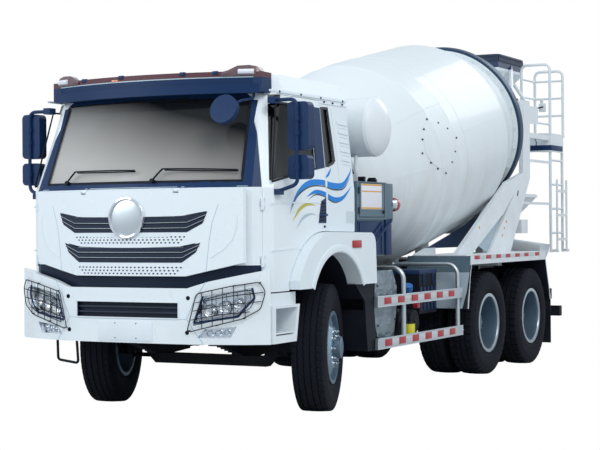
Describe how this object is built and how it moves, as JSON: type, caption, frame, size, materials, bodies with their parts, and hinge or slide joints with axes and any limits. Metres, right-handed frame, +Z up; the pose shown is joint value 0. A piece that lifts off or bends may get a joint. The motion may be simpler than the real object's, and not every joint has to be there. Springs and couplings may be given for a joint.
{
  "type": "concrete mixer truck",
  "caption": "White cab-over truck with an inclined mixing drum, loading hopper, swivelling discharge chute, ladder and working doors, lid, steering and wheels.",
  "frame": {"origin": "middle of the truck's length and width on the ground", "axes": "+X to the truck's left side, -Y towards its front, +Z up"},
  "size_m": [2.784, 8.56, 3.6663],
  "materials": {
    "white_paint": "gloss",
    "chassis_paint": "satin",
    "engine_metal": "rough",
    "lamp_lens": "gloss",
    "tinted_glass": "gloss",
    "dark_plastic": "satin",
    "tank_metal": "brushed",
    "cabinet_grey": "satin",
    "guard_grey": "satin",
    "ring_steel": "worn",
    "tyre_rubber": "matte",
    "wheel_steel": "satin"
  },
  "bodies": {
    "chassis": {"bumper_and_steps": "white_paint", "cab_floor": "white_paint", "cab_front": "white_paint", "cab_glass": "tinted_glass", "cab_interior": "dark_plastic", "cab_rear": "white_paint", "cab_roof": "white_paint", "cab_sides": "white_paint", "control_cabinet": "cabinet_grey", "engine_block": "engine_metal", "frame_rails": "chassis_paint", "front_axle": "chassis_paint", "front_fenders": "white_paint", "front_pedestal": "white_paint", "fuel_tank": "tank_metal", "headlamps": "lamp_lens", "hopper_and_funnel": "white_paint", "leaf_springs": "chassis_paint", "mixer_subframe": "chassis_paint", "mudguards": "dark_plastic", "platform_ladder": "white_paint", "rear_axles": "chassis_paint", "rear_fenders": "white_paint", "rear_stand": "white_paint", "side_boxes": "dark_plastic", "side_guards": "guard_grey", "sun_visor": "dark_plastic", "underrun_bar": "chassis_paint", "water_tank": "white_paint"},
    "knuckle_left": {"knuckle_left": "chassis_paint"},
    "knuckle_right": {"knuckle_right": "chassis_paint"},
    "tie_rod": {"tie_rod": "chassis_paint"},
    "front_wheel_left": {"front_tyre_left": "tyre_rubber", "front_rim_left": "wheel_steel"},
    "front_wheel_right": {"front_tyre_right": "tyre_rubber", "front_rim_right": "wheel_steel"},
    "door_left": {"door_left": "white_paint", "door_glass_left": "tinted_glass", "mirror_left": "dark_plastic"},
    "door_right": {"door_right": "white_paint", "door_glass_right": "tinted_glass", "mirror_right": "dark_plastic"},
    "front_lid": {"grille_lid": "white_paint"},
    "drum": {"drum_front": "white_paint", "drum_rear": "white_paint", "drum_ring": "ring_steel"},
    "roller_left": {"roller_left": "chassis_paint"},
    "roller_right": {"roller_right": "chassis_paint"},
    "chute_post": {"chute_post": "white_paint"},
    "chute": {"chute": "white_paint"},
    "lower_ladder": {"lower_ladder": "white_paint"},
    "rear_wheels_left_1": {"rear_tyres_left_1": "tyre_rubber", "rear_rims_left_1": "wheel_steel"},
    "rear_wheels_right_1": {"rear_tyres_right_1": "tyre_rubber", "rear_rims_right_1": "wheel_steel"},
    "rear_wheels_left_2": {"rear_tyres_left_2": "tyre_rubber", "rear_rims_left_2": "wheel_steel"},
    "rear_wheels_right_2": {"rear_tyres_right_2": "tyre_rubber", "rear_rims_right_2": "wheel_steel"}
  },
  "joints": [
    {"name": "steer_left", "type": "hinge", "parent": "chassis", "child": "knuckle_left", "pos_m": [0.86, -2.945, 0.54], "axis": [0, 0, 1], "range_deg": [-51.5, 18.5]},
    {"name": "steer_right", "type": "hinge", "parent": "chassis", "child": "knuckle_right", "pos_m": [-0.86, -2.945, 0.54], "axis": [0, 0, 1], "range_deg": [-51.5, 18.5]},
    {"name": "tie_rod_swing", "type": "hinge", "parent": "knuckle_left", "child": "tie_rod", "pos_m": [0.8032, -2.75324, 0.41], "axis": [0, 0, 1], "range_deg": [-18.5, 51.5]},
    {"name": "front_wheel_left", "type": "hinge", "parent": "knuckle_left", "child": "front_wheel_left", "pos_m": [1.01341, -2.89956, 0.54], "axis": [0.9588, 0.284, 0], "continuous": true},
    {"name": "front_wheel_right", "type": "hinge", "parent": "knuckle_right", "child": "front_wheel_right", "pos_m": [-1.01341, -2.99044, 0.54], "axis": [0.9588, 0.284, 0], "continuous": true},
    {"name": "rear_wheels_left_1", "type": "hinge", "parent": "chassis", "child": "rear_wheels_left_1", "pos_m": [0.925, 0.68, 0.54], "axis": [1, 0, 0], "continuous": true},
    {"name": "rear_wheels_right_1", "type": "hinge", "parent": "chassis", "child": "rear_wheels_right_1", "pos_m": [-0.925, 0.68, 0.54], "axis": [1, 0, 0], "continuous": true},
    {"name": "rear_wheels_left_2", "type": "hinge", "parent": "chassis", "child": "rear_wheels_left_2", "pos_m": [0.925, 2.03, 0.54], "axis": [1, 0, 0], "continuous": true},
    {"name": "rear_wheels_right_2", "type": "hinge", "parent": "chassis", "child": "rear_wheels_right_2", "pos_m": [-0.925, 2.03, 0.54], "axis": [1, 0, 0], "continuous": true},
    {"name": "door_left_swing", "type": "hinge", "parent": "chassis", "child": "door_left", "pos_m": [1.085, -3.987, 1.8], "axis": [0, 0, -1], "range_deg": [0, 70]},
    {"name": "door_right_swing", "type": "hinge", "parent": "chassis", "child": "door_right", "pos_m": [-1.085, -3.987, 1.8], "axis": [0, 0, 1], "range_deg": [0, 70]},
    {"name": "front_lid_lift", "type": "hinge", "parent": "chassis", "child": "front_lid", "pos_m": [0, -4.217, 1.856], "axis": [-1, 0, 0], "range_deg": [0, 75]},
    {"name": "drum_spin", "type": "hinge", "parent": "chassis", "child": "drum", "pos_m": [0, 2.475, 2.7], "axis": [0, 0.9799, 0.1994], "continuous": true},
    {"name": "roller_left_spin", "type": "hinge", "parent": "chassis", "child": "roller_left", "pos_m": [0.6498, 2.65331, 1.82359], "axis": [0, 0.9799, 0.1994], "continuous": true},
    {"name": "roller_right_spin", "type": "hinge", "parent": "chassis", "child": "roller_right", "pos_m": [-0.6498, 2.65331, 1.82359], "axis": [0, 0.9799, 0.1994], "continuous": true},
    {"name": "chute_swivel", "type": "hinge", "parent": "chassis", "child": "chute_post", "pos_m": [0, 3.795, 1.04], "axis": [0, 0, 1], "range_deg": [0, 180]},
    {"name": "chute_tilt", "type": "hinge", "parent": "chute_post", "child": "chute", "pos_m": [-0.12, 3.795, 1.395], "axis": [0, 1, 0], "range_deg": [-8, 22]},
    {"name": "ladder_fold", "type": "hinge", "parent": "chassis", "child": "lower_ladder", "pos_m": [0.966, 3.73, 1.24], "axis": [0, 1, 0], "range_deg": [0, 180]}
  ],
  "couplings": [
    {"joint": "steer_right", "follows": "steer_left", "ratio": 1},
    {"joint": "tie_rod_swing", "follows": "steer_left", "ratio": -1},
    {"joint": "roller_left_spin", "follows": "drum_spin", "ratio": -7.5},
    {"joint": "roller_right_spin", "follows": "drum_spin", "ratio": -7.5}
  ]
}
